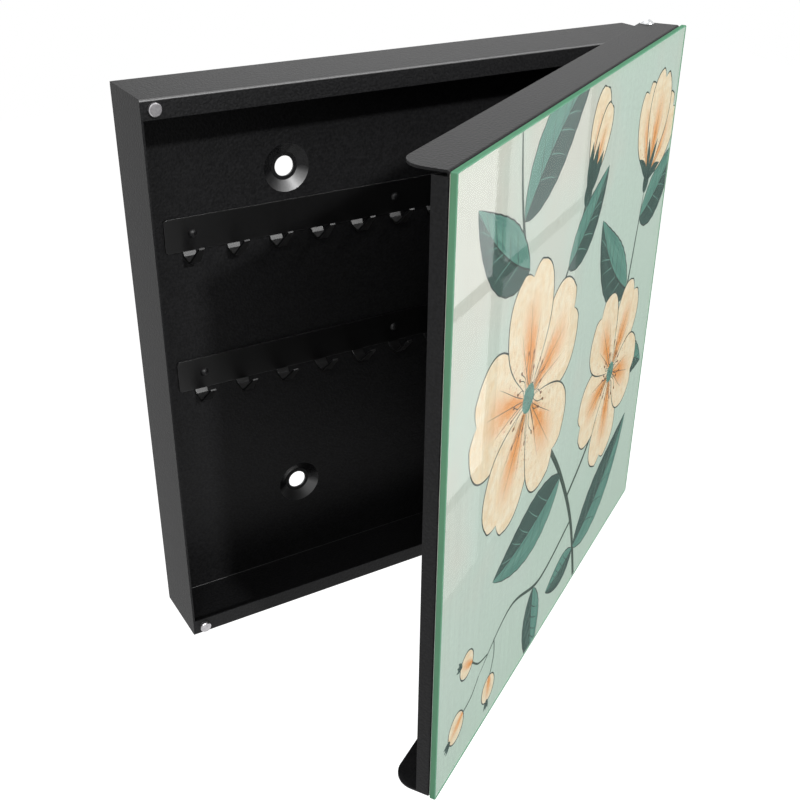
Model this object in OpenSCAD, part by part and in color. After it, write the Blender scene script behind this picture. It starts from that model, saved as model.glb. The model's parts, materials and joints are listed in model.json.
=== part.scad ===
// Wall key box: a folded steel tray with two riveted hook rails, closed by a hinged door
// with a printed glass front and held shut by two magnets.
// The origin is the centre of the four wall screws, in the wall's plane.
// +X is to the right of someone facing the wall, +Y runs into the wall and +Z is up.

/* [Door] */
// Width of the glass front
glass_w = 300; // [290:0.5:330]
// Height of the glass front
glass_h = 300; // [285:0.5:360]
// Thickness of the glass
glass_t = 3; // [2:0.1:5]
// Ground bevel along the edges of the glass
glass_bevel = 0.4; // [0.2:0.05:0.8]
// Thickness of the printed film behind the glass
film_t = 0.2; // [0.1:0.05:0.5]
// How far the film stops short of the glass edge
film_inset = 0.5; // [0.2:0.1:2]
// Thickness of the tape that bonds the glass to the door sheet
tape_t = 0.3; // [0.2:0.1:1.2]
// Width of the tape
tape_w = 12; // [6:1:20]
// How far the tape stays inside the glass edge
tape_inset = 5; // [4:0.5:10]
// Depth of the fold along the door's free side
return_d = 6.5; // [4:0.5:9]
// Free space between that fold and the side of the tray
side_gap = 0.5; // [0.4:0.1:2]
// Open slit between that fold and the flanges
corner_slit = 1.2; // [0.5:0.1:3]
// Radius of the flange's corner at the free side
flange_free_r = 11; // [6:0.5:14]
// Radius of the flange's corner at the hinge
flange_hinge_r = 3; // [1:0.5:4]

/* [Tray] */
// Depth of the tray from its back to its front lips
tray_d = 40; // [34:0.5:70]
// Thickness of the folded steel sheet
sheet = 1; // [0.7:0.1:1.2]
// Inside radius of the folds
fold_r = 0.2; // [0.2:0.1:1]
// Height of the lips at the top and bottom of the mouth
lip_h = 9.2; // [8:0.1:14]

/* [Wall fixing] */
// Distance between the screws across the box
screw_pitch_x = 126; // [90:1:200]
// Distance between the screws up the box
screw_pitch_z = 188; // [184:1:220]
// Diameter of the screw holes
screw_hole_d = 10.5; // [6:0.1:12]
// Diameter of the flat floor of each dish
dish_floor_d = 14.4; // [14:0.1:20]
// Diameter of each dish at the back sheet
dish_d = 25; // [22:0.1:28]
// Depth of the dishes, which is how far the tray stands off the wall
dish_depth = 3; // [2.4:0.1:5]

/* [Hook rails] */
// Hooks on each rail
hook_count = 11; // [3:1:11]
// From the tray's sides to the ends of a rail
rail_gap = 18; // [10:0.5:40]
// From the middle of an outer hook to the rail's end
rail_end = 12; // [10:0.5:14]
// Height of each rail
rail_h = 17.5; // [14:0.5:19]
// Radius of the rail's corners
rail_corner_r = 2; // [0.5:0.1:3]
// Height of the middle of the upper rail
upper_rail_z = 69; // [62:0.1:70]
// Height of the middle of the lower rail
lower_rail_z = -8; // [-40:0.1:0]
// Width of a hook where it leaves the rail
hook_root_w = 6.8; // [5:0.1:10]
// Width of a hook at its tip
hook_tip_w = 2.8; // [2:0.1:4.8]
// Drop of the flat shoulder by which a hook leaves the rail
hook_drop = 2; // [1:0.1:3]
// Lean of the shoulder from upright
hook_lean = 35; // [25:1:50]
// Fall of a hook's seat, forward from the shoulder
hook_fall = 17; // [0:1:25]
// Inside radius of the bend between a hook's seat and its tip
hook_bend_r = 2; // [1:0.1:3]
// From the back sheet to the end of a hook's tip
hook_reach = 19; // [16:0.5:26]
// Height of a hook's tip above the rail's lower edge
hook_tip_h = 7.1; // [4:0.1:9]
// Slope of a hook's tip
hook_slope = 44; // [35:1:70]

/* [Rivets] */
// From the rail's end to an outer rivet
rivet_inset = 14.5; // [8:0.5:20]
// Diameter of a rivet's shank
rivet_d = 3.2; // [2.4:0.1:4]
// Diameter of a rivet's domed head
rivet_head_d = 4.8; // [4.4:0.1:8]
// Height of a rivet's domed head
rivet_head_h = 1.5; // [0.8:0.1:2.2]
// Height of a rivet's flat tail behind the back sheet
rivet_tail_h = 1.2; // [0.6:0.1:2]

/* [Magnets] */
// Diameter of the door magnets
magnet_d = 6; // [4:0.1:7]
// How far a magnet stands out of its lip
magnet_proud = 2.2; // [1:0.1:4]
// Bevel around a magnet's face
magnet_bevel = 0.4; // [0.1:0.05:0.8]
// From the tray's free side to the middle of a magnet
magnet_inset = 6.3; // [5:0.1:20]
// Free space between a magnet and the closed door
latch_gap = 0.4; // [0.3:0.05:1]

/* [Hinge] */
// How far the door stands open
open_angle = 32.4; // [0:0.1:140]
// From the tray's hinge side to the pins
pin_inset_x = 5; // [4.8:0.1:10]
// From the tray's front lips to the pins
pin_inset_y = 13; // [8:0.1:16]
// Diameter of the hinge pins
pin_d = 4; // [3:0.1:5]
// Diameter of the pins' domed heads
pin_head_d = 7.6; // [6.5:0.1:8.2]
// Height of the pins' domed heads
pin_head_h = 2.2; // [1.2:0.1:3.2]
// How far the pins reach past their clips
pin_tail = 1; // [0.5:0.1:4]
// Radial running clearance of the door on the pins
pin_play = 0.06; // [0.02:0.01:0.1]
// Free play along the pins above and below the flanges
end_play = 0.2; // [0.1:0.05:0.4]
// Free height between the tray and the flanges
hinge_gap = 3; // [1.5:0.1:5]
// Diameter of the spacer washers
washer_d = 9; // [7:0.1:9.4]
// Diameter of the clips that hold the pins
clip_d = 7; // [6:0.1:7.2]
// Thickness of those clips
clip_t = 0.8; // [0.5:0.1:1.5]
// From the pins to the flange's end at the hinge
flange_end = 4.5; // [4.2:0.1:6]
// From the pins to the flange's rear edge
flange_edge = 4.2; // [4.1:0.1:10]

/* [Hidden] */
$fn = 96;

// Overrun of cutters past the faces that they cut
cut = 1;
// Overlap of the shapes that are joined into one piece
lap = 0.3;

// Tray, from the wall forward
back_rear_y = -dish_depth;
back_front_y = back_rear_y - sheet;
lip_front_y = back_rear_y - tray_d;
fold = fold_r + sheet;
tray_w = glass_w - 2 * (sheet + side_gap);
tray_h = glass_h - 2 * (sheet + hinge_gap);

// Rails
rail_len = tray_w - 2 * rail_gap;
hook_pitch = (rail_len - 2 * rail_end) / (hook_count - 1);
rail_front_y = back_front_y - sheet;
hook_front_y = back_front_y - hook_reach;
// Straight steps in the bend of a hook
bend_steps = 8;
rivet_x = rail_len / 2 - rivet_inset;

// Door as it stands when shut, from the tray forward
panel_rear_y = lip_front_y - magnet_proud - latch_gap;
panel_front_y = panel_rear_y - sheet;
film_rear_y = panel_front_y - tape_t;
glass_rear_y = film_rear_y - film_t;

// Outer and inner edges of the frame of tape
tape_x = glass_w / 2 - tape_inset;
tape_z = glass_h / 2 - tape_inset;
tape_inner_x = tape_x - tape_w;
tape_inner_z = tape_z - tape_w;

// Hinge axis and the flanges around it
pin_x = tray_w / 2 - pin_inset_x;
pin_y = lip_front_y + pin_inset_y;
flange_hinge_x = pin_x + flange_end;
flange_free_x = -glass_w / 2 + sheet;
flange_rear_y = pin_y + flange_edge;

// Magnets
magnet_x = magnet_inset - tray_w / 2;
magnet_z = tray_h / 2 - lip_h / 2;

// A box between two corners
module block(low, high) {
    translate(low) cube(high - low);
}

// A drawing in Y and Z, drawn out along X about the middle
module along_x(length) {
    rotate([90, 0, 90]) linear_extrude(length, center = true) children();
}

// A shape built along Z, turned to run along Y
module along_y() {
    rotate([-90, 0, 0]) children();
}

// A square bend of sheet around the drawing's origin, from its X axis to its Y axis, with
// a short straight leg at each end
module elbow(inside_r) {
    intersection() {
        difference() {
            circle(inside_r + sheet);
            circle(inside_r);
        }
        square(2 * (inside_r + sheet));
    }
    translate([inside_r, -lap]) square([sheet, lap]);
    translate([-lap, inside_r]) square([lap, sheet]);
}

// A domed head that stands on Z = 0
module dome(diameter, height) {
    ball_r = (pow(diameter / 2, 2) + pow(height, 2)) / (2 * height);
    intersection() {
        translate([0, 0, height - ball_r]) sphere(ball_r);
        cylinder(d = 2 * diameter, h = 2 * height);
    }
}

// The same piece at the top and, mirrored, at the bottom
module at_level(upper) {
    mirror([0, 0, upper ? 0 : 1]) children();
}

// The door's pieces, swung open about the hinge pins
module swung() {
    translate([pin_x, pin_y, 0]) rotate(open_angle) translate([-pin_x, -pin_y, 0]) children();
}

// The four wall screws
module at_screws() {
    for (x = [-0.5, 0.5], z = [-0.5, 0.5]) {
        translate([x * screw_pitch_x, 0, z * screw_pitch_z]) children();
    }
}

// Back sheet with a dish pressed towards the wall at each screw
module tray_back() {
    slope = atan2(dish_depth, (dish_d - dish_floor_d) / 2);
    // The dish's rear face lies one sheet behind its front face
    wider = sheet * tan(slope / 2);
    spread = (dish_d - dish_floor_d) / 2 / dish_depth;
    rear_floor_r = dish_floor_d / 2 + wider;
    inner_w = tray_w / 2 - fold;
    inner_h = tray_h / 2 - fold;
    difference() {
        union() {
            block([-inner_w, back_front_y, -inner_h], [inner_w, back_rear_y, inner_h]);
            at_screws() along_y() translate([0, 0, back_rear_y - sheet / 2])
                cylinder(
                    h = dish_depth + sheet / 2,
                    r1 = rear_floor_r + spread * (dish_depth + sheet / 2),
                    r2 = rear_floor_r
                );
        }
        at_screws() along_y() translate([0, 0, back_front_y - cut])
            cylinder(
                h = dish_depth + cut,
                r1 = dish_floor_d / 2 + spread * (dish_depth + cut),
                r2 = dish_floor_d / 2
            );
        at_screws() along_y() translate([0, 0, back_front_y])
            cylinder(d = screw_hole_d, h = dish_depth + sheet + cut);
    }
}

// Left or right wall, full height, folded up from the back sheet, with its front corners
// rounded like the folds that they meet
module tray_side(side) {
    front_y = lip_front_y + fold;
    mirror([side > 0 ? 1 : 0, 0, 0]) translate([-tray_w / 2, 0, 0]) {
        translate([sheet / 2, 0, 0]) along_x(sheet) {
            translate([front_y, -tray_h / 2]) square([tray_d - 2 * fold, tray_h]);
            translate([lip_front_y, fold - tray_h / 2]) square([fold + lap, tray_h - 2 * fold]);
            for (z = [-1, 1]) translate([front_y, z * (tray_h / 2 - fold)]) circle(fold);
        }
        linear_extrude(tray_h - 2 * fold, center = true)
            translate([fold, back_rear_y - fold]) mirror([1, 0]) elbow(fold_r);
    }
}

// Top wall with the lip turned down at its front, its ends welded into the side walls
module tray_top() {
    along_x(tray_w - 2 * fold)
        translate([back_rear_y - fold, tray_h / 2 - fold]) elbow(fold_r);
    along_x(tray_w - sheet) {
        translate([lip_front_y + fold, tray_h / 2 - sheet]) square([tray_d - 2 * fold, sheet]);
        translate([lip_front_y + fold, tray_h / 2 - fold]) mirror([1, 0]) elbow(fold_r);
        translate([lip_front_y, tray_h / 2 - lip_h]) square([sheet, lip_h - fold]);
    }
}

module tray() {
    color("#2b2c2e") difference() {
        union() {
            tray_back();
            for (side = [-1, 1]) tray_side(side);
            for (upper = [true, false]) at_level(upper) tray_top();
        }
        for (upper = [true, false]) at_level(upper) {
            translate([pin_x, pin_y, tray_h / 2 - sheet - cut]) cylinder(d = pin_d, h = sheet + 2 * cut);
            translate([magnet_x, lip_front_y - cut, magnet_z])
                along_y() cylinder(d = magnet_d, h = sheet + 2 * cut);
        }
        for (z = [upper_rail_z, lower_rail_z]) at_rivets(z)
            translate([0, back_front_y - cut, 0]) along_y() cylinder(d = rivet_d, h = sheet + 2 * cut);
    }
}

// The three rivets of a rail
module at_rivets(rail_z) {
    for (x = [-rivet_x, 0, rivet_x]) translate([x, 0, rail_z]) children();
}

// Points along an arc in a drawing
function arc(centre, r, from, to) = [
    for (i = [0 : bend_steps])
        let (angle = from + (to - from) * i / bend_steps)
        centre + r * [cos(angle), sin(angle)]
];

// Side view in Y and Z of a hook, bent forward and up from the lower edge of a rail at Z = 0:
// a flat shoulder, a seat that falls forward, a round bend and a tip. Its root laps into the rail.
function hook_profile() =
    let (
        inner = hook_bend_r,
        outer = hook_bend_r + sheet,
        middle = hook_bend_r + sheet / 2,
        root = [rail_front_y, 0],
        seat = root + hook_drop * [-tan(hook_lean), -1],
        // Along Y from the shoulder to the bend, so that the tip ends at its height and reach
        rise = hook_tip_h + hook_drop - inner * cos(hook_fall) + middle * cos(hook_slope),
        room = seat[0] - hook_front_y - inner * sin(hook_fall) - middle * sin(hook_slope),
        run = (room - rise / tan(hook_slope)) / (1 + tan(hook_fall) / tan(hook_slope)),
        bend = seat + run * [-1, -tan(hook_fall)] + inner * [-sin(hook_fall), cos(hook_fall)],
        tip_len = (hook_tip_h - bend[1] + middle * cos(hook_slope)) / sin(hook_slope),
        tip = tip_len * [-cos(hook_slope), sin(hook_slope)],
        from = hook_fall - 90,
        to = -hook_slope - 90,
        to_dir = [cos(to), sin(to)],
        // From a corner of the upper face to the same corner of the lower face
        root_mitre = sheet * [1, -tan(hook_lean / 2)],
        seat_mitre = sheet / (1 + sin(hook_lean + hook_fall))
            * [cos(hook_lean) + sin(hook_fall), -sin(hook_lean) - cos(hook_fall)]
    )
    concat(
        [[back_front_y, lap], root + root_mitre, seat + seat_mitre],
        arc(bend, outer, from, to),
        [bend + outer * to_dir + tip, bend + inner * to_dir + tip],
        arc(bend, inner, to, from),
        [seat, root, [rail_front_y, lap]]
    );

module hook() {
    root = hook_root_w / 2;
    tip = hook_tip_w / 2;
    intersection() {
        along_x(hook_root_w) polygon(hook_profile());
        // Seen from above, the hook narrows from its root to its tip
        translate([0, 0, -rail_h]) linear_extrude(2 * rail_h) polygon([
            [-root, back_front_y + cut],
            [-root, rail_front_y],
            [-tip, hook_front_y - cut],
            [tip, hook_front_y - cut],
            [root, rail_front_y],
            [root, back_front_y + cut],
        ]);
    }
}

// A rail with its hooks, on the back sheet
module hook_rail(rail_z) {
    color("#28292b") difference() {
        union() {
            translate([0, back_front_y, rail_z]) rotate([90, 0, 0]) linear_extrude(sheet) {
                square([rail_len - 2 * rail_corner_r, rail_h], center = true);
                square([rail_len, rail_h - 2 * rail_corner_r], center = true);
                for (x = [-1, 1], z = [-1, 1]) {
                    translate([x * (rail_len / 2 - rail_corner_r), z * (rail_h / 2 - rail_corner_r)])
                        circle(rail_corner_r);
                }
            }
            for (i = [0 : hook_count - 1]) {
                translate([(i - (hook_count - 1) / 2) * hook_pitch, 0, rail_z - rail_h / 2]) hook();
            }
        }
        at_rivets(rail_z) translate([0, rail_front_y - cut, 0])
            along_y() cylinder(d = rivet_d, h = sheet + 2 * cut);
    }
}

module upper_hook_rail() {
    hook_rail(upper_rail_z);
}

module lower_hook_rail() {
    hook_rail(lower_rail_z);
}

// A rivet through a rail and the back sheet, with its dome in front
module rivet(column, rail_z) {
    color("#242527") translate([column * rivet_x, 0, rail_z]) {
        translate([0, rail_front_y, 0]) rotate([90, 0, 0]) dome(rivet_head_d, rivet_head_h);
        translate([0, rail_front_y - lap, 0]) along_y() cylinder(d = rivet_d, h = 2 * (sheet + lap));
        translate([0, back_rear_y, 0]) along_y() cylinder(d = rivet_head_d, h = rivet_tail_h);
    }
}

// A disc magnet pressed through a lip
module magnet(upper) {
    r = magnet_d / 2;
    length = magnet_proud + sheet;
    color("#b4b6b8") at_level(upper) translate([magnet_x, lip_front_y - magnet_proud, magnet_z]) along_y()
        rotate_extrude() polygon([
            [0, 0],
            [r - magnet_bevel, 0],
            [r, magnet_bevel],
            [r, length],
            [0, length],
        ]);
}

// A headed pin through the door's flange and the tray's wall
module hinge_pin(upper) {
    head_z = glass_h / 2 + end_play;
    tail_z = tray_h / 2 - sheet - clip_t - pin_tail;
    color("#d8dadc") at_level(upper) translate([pin_x, pin_y, 0]) {
        translate([0, 0, tail_z]) cylinder(d = pin_d, h = head_z + lap - tail_z);
        translate([0, 0, head_z]) dome(pin_head_d, pin_head_h);
    }
}

// A spacer between the tray and the flange, round the pin
module hinge_washer(upper) {
    color("#e9e8e2") at_level(upper) translate([pin_x, pin_y, tray_h / 2]) difference() {
        cylinder(d = washer_d, h = hinge_gap - end_play);
        translate([0, 0, -cut]) cylinder(d = pin_d, h = hinge_gap + 2 * cut);
    }
}

// A push-on clip that holds the pin inside the tray
module pin_clip(upper) {
    color("#9da0a3") at_level(upper) translate([pin_x, pin_y, tray_h / 2 - sheet - clip_t]) difference() {
        cylinder(d = clip_d, h = clip_t);
        translate([0, 0, -cut]) cylinder(d = pin_d, h = clip_t + 2 * cut);
    }
}

// Area of a flange seen from above, behind its fold
module flange_area() {
    front_y = panel_front_y + fold;
    translate([flange_free_x, front_y]) square([flange_hinge_x - flange_free_x, flange_rear_y - front_y]);
}

// Outline of a flange, with its two rear corners rounded
module flange_outline() {
    free_centre = [flange_free_x + flange_free_r, flange_rear_y - flange_free_r];
    hinge_centre = [flange_hinge_x - flange_hinge_r, flange_rear_y - flange_hinge_r];
    intersection() {
        flange_area();
        union() {
            difference() {
                flange_area();
                translate(free_centre) mirror([1, 0]) square(flange_free_r + cut);
                translate(hinge_centre) square(flange_hinge_r + cut);
            }
            translate(free_centre) circle(flange_free_r);
            translate(hinge_centre) circle(flange_hinge_r);
        }
    }
}

// Flange along the door's upper edge, with the hole that turns on the pin
module door_flange() {
    translate([(flange_free_x + flange_hinge_x) / 2, 0, 0]) along_x(flange_hinge_x - flange_free_x)
        translate([panel_front_y + fold, glass_h / 2 - fold]) mirror([1, 0]) elbow(fold_r);
    translate([0, 0, glass_h / 2 - sheet]) difference() {
        linear_extrude(sheet) flange_outline();
        translate([pin_x, pin_y, -cut]) cylinder(r = pin_d / 2 + pin_play, h = sheet + 2 * cut);
    }
}

// Fold along the door's free side, just inside the two flanges
module door_return() {
    free_x = -glass_w / 2;
    linear_extrude(glass_h - 2 * (sheet + corner_slit), center = true) {
        translate([free_x + fold, panel_front_y + fold]) rotate(180) elbow(fold_r);
        translate([free_x, panel_front_y + fold]) square([sheet, return_d - fold]);
    }
}

module door_panel() {
    color("#3a3b3e") swung() {
        block(
            [fold - glass_w / 2, panel_front_y, fold - glass_h / 2],
            [flange_hinge_x, panel_rear_y, glass_h / 2 - fold]
        );
        for (upper = [true, false]) at_level(upper) door_flange();
        door_return();
    }
}

// A rectangle about the origin with bevelled corners
module bevelled(size, bevel) {
    x = size[0] / 2;
    y = size[1] / 2;
    polygon([
        [bevel - x, -y],
        [x - bevel, -y],
        [x, bevel - y],
        [x, y - bevel],
        [x - bevel, y],
        [bevel - x, y],
        [-x, y - bevel],
        [-x, bevel - y],
    ]);
}

module glass_panel() {
    color("#8fc4a6", 0.5) swung() translate([0, glass_rear_y - glass_t / 2, 0]) intersection() {
        linear_extrude(glass_h, center = true) bevelled([glass_w, glass_t], glass_bevel);
        along_x(glass_w) bevelled([glass_t, glass_h], glass_bevel);
    }
}

module print_film() {
    x = glass_w / 2 - film_inset;
    z = glass_h / 2 - film_inset;
    color("#c2d6c8") swung() block([-x, glass_rear_y, -z], [x, film_rear_y, z]);
}

// A strip of tape between the film and the door sheet
module tape(low_x, high_x, low_z, high_z) {
    color("#f0f0ee") swung() block([low_x, film_rear_y, low_z], [high_x, panel_front_y, high_z]);
}

module tape_top() {
    tape(-tape_x, tape_x, tape_inner_z, tape_z);
}

module tape_bottom() {
    tape(-tape_x, tape_x, -tape_z, -tape_inner_z);
}

module tape_left() {
    tape(-tape_x, -tape_inner_x, -tape_inner_z, tape_inner_z);
}

module tape_right() {
    tape(tape_inner_x, tape_x, -tape_inner_z, tape_inner_z);
}

tray();
upper_hook_rail();
lower_hook_rail();
rivet(-1, upper_rail_z);  // upper_rivet_left
rivet(0, upper_rail_z);  // upper_rivet_middle
rivet(1, upper_rail_z);  // upper_rivet_right
rivet(-1, lower_rail_z);  // lower_rivet_left
rivet(0, lower_rail_z);  // lower_rivet_middle
rivet(1, lower_rail_z);  // lower_rivet_right
magnet(true);  // upper_magnet
magnet(false);  // lower_magnet
hinge_pin(true);  // upper_hinge_pin
hinge_pin(false);  // lower_hinge_pin
hinge_washer(true);  // upper_hinge_washer
hinge_washer(false);  // lower_hinge_washer
pin_clip(true);  // upper_pin_clip
pin_clip(false);  // lower_pin_clip
door_panel();
glass_panel();
print_film();
tape_top();
tape_bottom();
tape_left();
tape_right();
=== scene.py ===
# Looks of the wall key box: its finishes, glass, print, light and camera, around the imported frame.
import json
import math
import random

import bmesh
import bpy
from mathutils import Matrix, Vector


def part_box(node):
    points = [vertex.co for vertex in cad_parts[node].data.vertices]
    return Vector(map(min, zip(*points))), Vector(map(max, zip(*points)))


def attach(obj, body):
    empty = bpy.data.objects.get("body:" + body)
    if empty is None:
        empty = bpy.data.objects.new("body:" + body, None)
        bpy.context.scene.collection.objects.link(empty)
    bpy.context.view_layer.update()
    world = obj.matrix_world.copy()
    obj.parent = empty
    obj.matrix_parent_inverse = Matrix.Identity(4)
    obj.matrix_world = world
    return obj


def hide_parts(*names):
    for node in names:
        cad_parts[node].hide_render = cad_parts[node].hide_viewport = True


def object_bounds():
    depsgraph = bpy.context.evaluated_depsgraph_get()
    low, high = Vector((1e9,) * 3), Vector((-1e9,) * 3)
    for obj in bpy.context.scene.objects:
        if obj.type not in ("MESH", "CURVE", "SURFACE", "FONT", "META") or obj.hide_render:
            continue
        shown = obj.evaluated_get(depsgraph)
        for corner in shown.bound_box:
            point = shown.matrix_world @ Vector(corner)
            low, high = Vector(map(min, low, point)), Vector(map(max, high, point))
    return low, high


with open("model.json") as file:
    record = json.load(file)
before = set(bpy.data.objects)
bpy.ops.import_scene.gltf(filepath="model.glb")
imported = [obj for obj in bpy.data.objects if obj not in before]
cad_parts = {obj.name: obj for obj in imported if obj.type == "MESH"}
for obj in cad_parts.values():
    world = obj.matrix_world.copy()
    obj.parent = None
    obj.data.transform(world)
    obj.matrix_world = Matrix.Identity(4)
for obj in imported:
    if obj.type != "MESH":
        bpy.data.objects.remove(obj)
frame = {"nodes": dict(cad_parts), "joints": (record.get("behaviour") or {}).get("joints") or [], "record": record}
cad_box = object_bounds()
scene = bpy.context.scene
MM = 0.001

# Camera of the photograph: place, aim and roll, in the part's own frame
EYE = Vector((-299.8, -510.7, 263.9)) * MM
AIM = Vector((-25.4, -47.9, -46.1)) * MM
ROLL = math.radians(0.48)
FOCAL_PX = 1124.3
FRAME_PX = 800
SENSOR_MM = 36.0
# Where the optical axis meets the picture, in pixels from its left and its top edge
AXIS_PX = (393.0, 427.4)

# Folded and pressed faces of a sheet, by how far they look up or how squarely they face the
# front: a mask starts at the first share, is full between the next two and ends at the last
LOOKS_UP = (0.06, 0.2, 0.9, 0.98)
FACES_FRONT = (0.3, 0.5, 0.93, 0.98)
# What stretching takes off the coat's roughness, and the share of its peel that it takes off
STRETCH_ROUGHNESS = 0.28
STRETCH_PEEL = 0.95

# Glass: its bend and tint, the share that its faces mirror, the share of light that its edges let
# out, and the width of the arris
GLASS_IOR = 1.52
GLASS_TINT = "#f8fcfa"
GLASS_MIRROR = 0.035
EDGE_GLOW = 0.3
ARRIS = 0.4 * MM
# A face is square to an axis where its normal has at least this share along it
SQUARE = 0.99

# Print: the film, with rounded corners, takes a share of its CAD solid's depth, and the inks lie
# in the rest, each on a level of its own and as thick as a share of that level
FILM_CORNER = 1.2 * MM
FILM_SHARE = 0.35
INK_LEVELS = 11
INK_SHARE = 0.7
MATT_PRINT = {"Roughness": 0.75, "Specular_IOR_Level": 0.1}

# Surroundings: height of the floor below the wall-hung box, half its width, its grey and how far
# it is lifted to white, and the strength of the background's light on the object
FLOOR_Z = -1.4
FLOOR_HALF = 6.0
FLOOR_GREY = 0.4
FLOOR_LIFT = 0.95
AMBIENT = 0.2

# Window that the glass mirrors, in millimetres: from the door's face, then from its free edge to
# each column's two sides and from its middle to each row's, with their share of the radiance
WINDOW_AWAY = 600
WINDOW_COLUMNS = [(1200, 1550, 1.0), (1612, 2080, 0.5)]
WINDOW_ROWS = [(-560, -150, 5.2), (-985, -592, 3.6), (-1240, -1015, 1.5)]

# Colour sockets of a Mix node, by their place among its inputs and outputs
COLOUR_A, COLOUR_B, COLOUR_OUT = 6, 7, 2

door_joint = frame["joints"][0]
HINGE = Vector(door_joint["pos_m"])
OPEN_ANGLE = -math.radians(door_joint["range_deg"][0])
# From the shut door's place to where the open door stands at rest
swing = Matrix.Translation(HINGE) @ Matrix.Rotation(OPEN_ANGLE, 4, "Z") @ Matrix.Translation(-HINGE)


def shut_box(node):
    """Lowest and highest corner of a door node as it lies when the door is shut."""
    back = swing.inverted()
    points = [back @ v.co for v in frame["nodes"][node].data.vertices]
    low = Vector(min(p[i] for p in points) for i in range(3))
    high = Vector(max(p[i] for p in points) for i in range(3))
    return low, high


def paint(hex_colour):
    """The linear colour of an sRGB hex value."""
    channels = [int(hex_colour[i : i + 2], 16) / 255 for i in (1, 3, 5)]
    linear = [c / 12.92 if c <= 0.04045 else ((c + 0.055) / 1.055) ** 2.4 for c in channels]
    return (*linear, 1.0)


def grey(level):
    """A neutral colour of a linear level."""
    return (level, level, level, 1.0)


def add(tree, kind, inputs=None, stops=None, **settings):
    """A shader node with its settings, its inputs set or linked, and its colour stops."""
    node = tree.nodes.new("ShaderNode" + kind)
    for name, value in settings.items():
        setattr(node, name, value)
    for name, value in (inputs or {}).items():
        if isinstance(value, bpy.types.NodeSocket):
            tree.links.new(value, node.inputs[name])
        else:
            node.inputs[name].default_value = value
    for i, (place, colour) in enumerate(stops or []):
        ramp = node.color_ramp.elements
        stop = ramp[i] if i < len(ramp) else ramp.new(place)
        stop.position = place
        stop.color = colour
    return node


def new_finish(name, **values):
    """A material with its shader's sockets set, as (material, node tree, shader)."""
    finish = bpy.data.materials.new(name)
    finish.use_nodes = True
    shader = finish.node_tree.nodes["Principled BSDF"]
    for socket, value in values.items():
        shader.inputs[socket.replace("_", " ")].default_value = value
    return finish, finish.node_tree, shader


def feed(tree, node, **outputs):
    """Links outputs to a node's sockets, which are named with _ for each space."""
    for socket, output in outputs.items():
        tree.links.new(output, node.inputs[socket.replace("_", " ")])


def formed(tree):
    """Masks of the folded and pressed parts of a sheet: those that look up, and the others."""
    normal = add(tree, "SeparateXYZ", {"Vector": add(tree, "NewGeometry").outputs["Normal"]}).outputs
    facing = add(tree, "Math", {0: normal["Y"]}, operation="ABSOLUTE").outputs[0]
    masks = []
    for share, places in ((normal["Z"], LOOKS_UP), (facing, FACES_FRONT)):
        stops = [(place, grey(level)) for place, level in zip(places, (0.0, 1.0, 1.0, 0.0))]
        masks.append(add(tree, "ValToRGB", {"Fac": share}, stops=stops).outputs["Color"])
    upward, leaning = masks
    other = add(tree, "Math", {0: leaning, 1: upward}, operation="SUBTRACT", use_clamp=True)
    return upward, other.outputs[0]


def powder_coat(name, deep, peak_highlight, roughness, sheen, peel_mm, depth_mm, fold_mm, pressed=False):
    # Powder-coated steel: sprayed dry and baked, a satin black skin with a fine even peel, painted
    # slightly paler where the peel stands up, a painted highlight on its peaks that makes light fall
    # off softly across it. The real peel is about half a millimetre, drawn coarser so that it shows.
    # Folds and pressed dishes are stretched smooth, and those that look up are rubbed and shine more.
    cloud_mm = 45
    finish, tree, shader = new_finish(
        name, IOR=1.5, Specular_IOR_Level=sheen, Coat_IOR=1.8, Coat_Roughness=0.42)
    place = add(tree, "TexCoord").outputs["Object"]
    peel = add(tree, "TexNoise", {
        "Vector": place, "Scale": 1 / (peel_mm * MM), "Detail": 2.0}).outputs["Fac"]
    cloud = add(tree, "TexNoise", {
        "Vector": place, "Scale": 1 / (cloud_mm * MM), "Detail": 3.0}).outputs["Fac"]
    # Painted highlight: the peel's peaks take the paler second colour, its hollows the deeper one
    tone = add(tree, "ValToRGB", {"Fac": peel}, stops=[(0.3, paint(deep)), (0.75, paint(peak_highlight))])
    shade = add(tree, "MapRange", {"Value": cloud, "To Min": 0.88, "To Max": 1.12})
    drift = add(tree, "Mix", {
        0: 1.0, COLOUR_A: tone.outputs["Color"], COLOUR_B: shade.outputs["Result"]},
        data_type="RGBA", blend_type="MULTIPLY")
    dullness = add(tree, "MapRange", {
        "Value": peel, "To Min": roughness - 0.02, "To Max": roughness + 0.03}).outputs["Result"]
    peel_share = 1.0
    if pressed:
        rubbed, stretched = formed(tree)
        feed(tree, shader, Coat_Weight=rubbed)
        dullness = add(tree, "Math", {0: stretched, 1: -STRETCH_ROUGHNESS, 2: dullness},
                       operation="MULTIPLY_ADD").outputs[0]
        peel_share = add(tree, "Math", {0: stretched, 1: -STRETCH_PEEL, 2: 1.0},
                         operation="MULTIPLY_ADD").outputs[0]
    fold = add(tree, "Bevel", {"Radius": fold_mm * MM}, samples=6)
    relief = add(tree, "Bump", {
        "Height": peel, "Distance": depth_mm * MM, "Strength": peel_share,
        "Normal": fold.outputs["Normal"]})
    feed(tree, shader, Base_Color=drift.outputs[COLOUR_OUT], Roughness=dullness,
         Normal=relief.outputs["Normal"])
    return finish


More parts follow.
